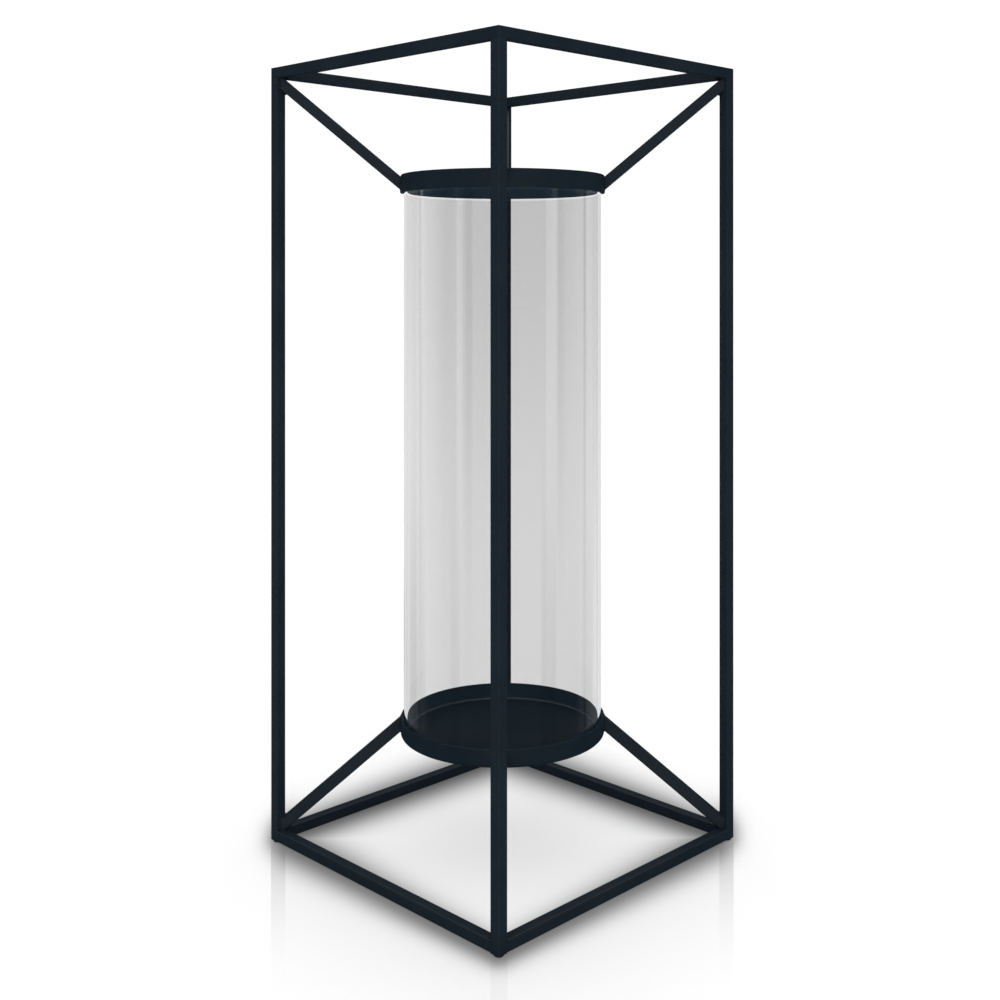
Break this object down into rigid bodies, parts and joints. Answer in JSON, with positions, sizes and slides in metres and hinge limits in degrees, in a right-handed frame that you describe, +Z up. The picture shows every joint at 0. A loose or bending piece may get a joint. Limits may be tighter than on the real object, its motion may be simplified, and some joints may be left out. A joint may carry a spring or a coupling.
{
  "type": "hurricane candle lantern",
  "caption": "Tall open square cage of slim metal tube; a ring and a tray on diagonal struts hold a clear glass cylinder that shelters a candle. The glass lifts out.",
  "frame": {"origin": "on the floor under the centre of the square cage, at the underside of the feet", "axes": "+Z up; the cage's sides are parallel to X and Y; -Y is the front and +X the right, though all four sides are alike"},
  "size_m": [0.254, 0.254, 0.5985],
  "materials": {
    "frame_paint": "satin blue-black powder coat",
    "glass": "clear, fire-polished rims",
    "foot_plastic": "black nylon"
  },
  "bodies": {
    "frame": {"post_front_right": "frame_paint", "post_rear_right": "frame_paint", "post_rear_left": "frame_paint", "post_front_left": "frame_paint", "top_rail_front": "frame_paint", "top_rail_right": "frame_paint", "top_rail_rear": "frame_paint", "top_rail_left": "frame_paint", "bottom_rail_front": "frame_paint", "bottom_rail_right": "frame_paint", "bottom_rail_rear": "frame_paint", "bottom_rail_left": "frame_paint", "upper_strut_front_right": "frame_paint", "upper_strut_rear_right": "frame_paint", "upper_strut_rear_left": "frame_paint", "upper_strut_front_left": "frame_paint", "lower_strut_front_right": "frame_paint", "lower_strut_rear_right": "frame_paint", "lower_strut_rear_left": "frame_paint", "lower_strut_front_left": "frame_paint", "shade_ring": "frame_paint", "candle_tray": "frame_paint", "foot_front_right": "foot_plastic", "foot_rear_right": "foot_plastic", "foot_rear_left": "foot_plastic", "foot_front_left": "foot_plastic"},
    "glass": {"glass_shade": "glass"}
  },
  "joints": [
    {"name": "glass_lift", "type": "slide", "parent": "frame", "child": "glass", "axis": [0, 0, 1], "range_m": [0, 0.52]}
  ]
}
